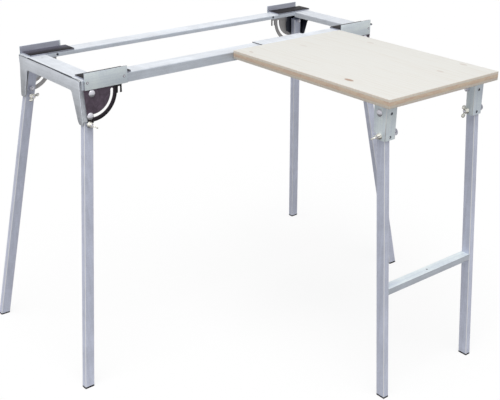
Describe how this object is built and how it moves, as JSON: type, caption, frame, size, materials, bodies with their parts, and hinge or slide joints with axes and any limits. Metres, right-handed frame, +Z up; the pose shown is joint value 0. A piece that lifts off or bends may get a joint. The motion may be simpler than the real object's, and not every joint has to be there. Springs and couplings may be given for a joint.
{
  "type": "tile cutter stand",
  "caption": "Folding steel stand for a tile cutter, with padded corner nests on its rails, hinged splayed legs and a hook-on wooden side table.",
  "frame": {"origin": "floor level, under the middle of the stand's outline", "axes": "+X along the rails towards the end beside the side table, +Y from the side table towards the frame, +Z up"},
  "size_m": [1.3504, 1.1692, 0.9275],
  "materials": {
    "rail_steel": "zinc plated, bright satin",
    "zinc_steel": "zinc plated, satin",
    "dark_plate": "dark, half matt",
    "fastener_zinc": "zinc plated",
    "yellow_zinc": "pale yellow zinc",
    "rubber": "matt",
    "spruce": "planed, untreated"
  },
  "bodies": {
    "frame": {"rail_near": "rail_steel", "rail_far": "rail_steel", "cross_plate_left": "rail_steel", "cross_plate_right": "rail_steel", "quadrant_near_left": "dark_plate", "quadrant_near_right": "dark_plate", "quadrant_far_left": "dark_plate", "quadrant_far_right": "dark_plate", "nest_bracket_near_left": "zinc_steel", "nest_bracket_near_right": "zinc_steel", "nest_bracket_far_left": "zinc_steel", "nest_bracket_far_right": "zinc_steel", "pad_near_left": "rubber", "pad_near_right": "rubber", "pad_far_left": "rubber", "pad_far_right": "rubber", "frame_rivets": "fastener_zinc"},
    "left_legs": {"apron_left": "zinc_steel", "leg_tube_near_left": "zinc_steel", "leg_tube_far_left": "zinc_steel", "foot_plugs_left": "rubber", "pivot_bolts_left": "fastener_zinc", "guide_bolts_left": "fastener_zinc", "lock_bolts_left": "fastener_zinc", "hinge_nuts_left": "fastener_zinc", "hinge_spacers_left": "fastener_zinc"},
    "right_legs": {"apron_right": "zinc_steel", "leg_tube_near_right": "zinc_steel", "leg_tube_far_right": "zinc_steel", "foot_plugs_right": "rubber", "pivot_bolts_right": "fastener_zinc", "guide_bolts_right": "fastener_zinc", "lock_bolts_right": "fastener_zinc", "hinge_nuts_right": "fastener_zinc", "hinge_spacers_right": "fastener_zinc"},
    "side_table": {"table_board": "spruce", "hook_plate": "zinc_steel", "hook_screws": "fastener_zinc", "table_bracket_left": "zinc_steel", "table_bracket_right": "zinc_steel", "bracket_screws": "fastener_zinc", "table_pivot_bolts": "fastener_zinc", "table_nuts": "fastener_zinc", "table_spacers": "fastener_zinc"},
    "table_legs": {"table_leg_left": "zinc_steel", "table_leg_right": "zinc_steel", "crossbar": "zinc_steel", "foot_plugs_table": "rubber", "table_lock_bolts": "fastener_zinc"},
    "nut_near_left": {"wing_nut_near_left": "yellow_zinc"},
    "nut_far_left": {"wing_nut_far_left": "yellow_zinc"},
    "nut_near_right": {"wing_nut_near_right": "yellow_zinc"},
    "nut_far_right": {"wing_nut_far_right": "yellow_zinc"},
    "nut_table_left": {"wing_nut_table_left": "yellow_zinc"},
    "nut_table_right": {"wing_nut_table_right": "yellow_zinc"}
  },
  "joints": [
    {"name": "left_legs_fold", "type": "hinge", "parent": "frame", "child": "left_legs", "pos_m": [-0.5395, 0.29438, 0.866], "axis": [0, -1, 0], "range_deg": [0, 94]},
    {"name": "right_legs_fold", "type": "hinge", "parent": "frame", "child": "right_legs", "pos_m": [0.5395, 0.29438, 0.866], "axis": [0, 1, 0], "range_deg": [0, 87]},
    {"name": "side_table_lift", "type": "slide", "parent": "frame", "child": "side_table", "axis": [0, 0, 1], "range_m": [0, 0.04]},
    {"name": "table_legs_fold", "type": "hinge", "parent": "side_table", "child": "table_legs", "pos_m": [0.183, -0.49742, 0.861], "axis": [1, 0, 0], "range_deg": [0, 75]},
    {"name": "wing_nut_near_left_turn", "type": "hinge", "parent": "left_legs", "child": "nut_near_left", "pos_m": [-0.55178, 0.09638, 0.77785], "axis": [0, -1, 0], "continuous": true},
    {"name": "wing_nut_far_left_turn", "type": "hinge", "parent": "left_legs", "child": "nut_far_left", "pos_m": [-0.55178, 0.44938, 0.77785], "axis": [0, -1, 0], "continuous": true},
    {"name": "wing_nut_near_right_turn", "type": "hinge", "parent": "right_legs", "child": "nut_near_right", "pos_m": [0.55178, 0.09638, 0.77785], "axis": [0, -1, 0], "continuous": true},
    {"name": "wing_nut_far_right_turn", "type": "hinge", "parent": "right_legs", "child": "nut_far_right", "pos_m": [0.55178, 0.44938, 0.77785], "axis": [0, -1, 0], "continuous": true},
    {"name": "wing_nut_table_left_turn", "type": "hinge", "parent": "table_legs", "child": "nut_table_left", "pos_m": [0.013, -0.50275, 0.79722], "axis": [-1, 0, 0], "continuous": true},
    {"name": "wing_nut_table_right_turn", "type": "hinge", "parent": "table_legs", "child": "nut_table_right", "pos_m": [0.353, -0.50275, 0.79722], "axis": [-1, 0, 0], "continuous": true}
  ]
}
